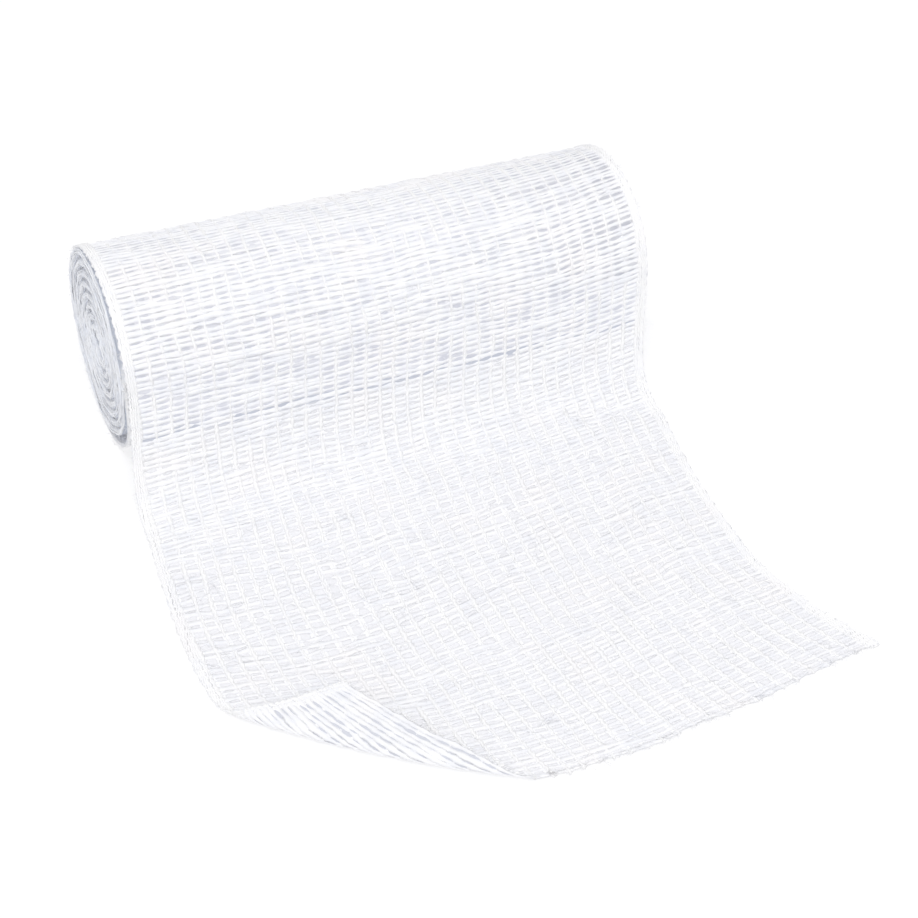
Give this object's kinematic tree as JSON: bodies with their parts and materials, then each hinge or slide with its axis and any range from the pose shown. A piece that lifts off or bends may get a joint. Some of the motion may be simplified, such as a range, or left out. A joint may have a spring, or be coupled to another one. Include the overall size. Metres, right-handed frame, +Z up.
{
  "type": "elastic gauze bandage",
  "caption": "Knitted elastic gauze bandage wound into a coreless roll, with its loose end laid out flat and one corner folded over.",
  "frame": {"origin": "middle of the footprint, on the surface that the bandage lies on", "axes": "+X along the roll, from the folded corner's side to the other, +Y from the loose end towards the back of the roll, +Z up"},
  "size_m": [0.1048, 0.1238, 0.0368],
  "materials": {
    "gauze": "matt bleached white open knitted gauze, slightly translucent, with a crepe texture of fine cross rows"
  },
  "bodies": {
    "root": {"bandage": "gauze"}
  },
  "joints": []
}
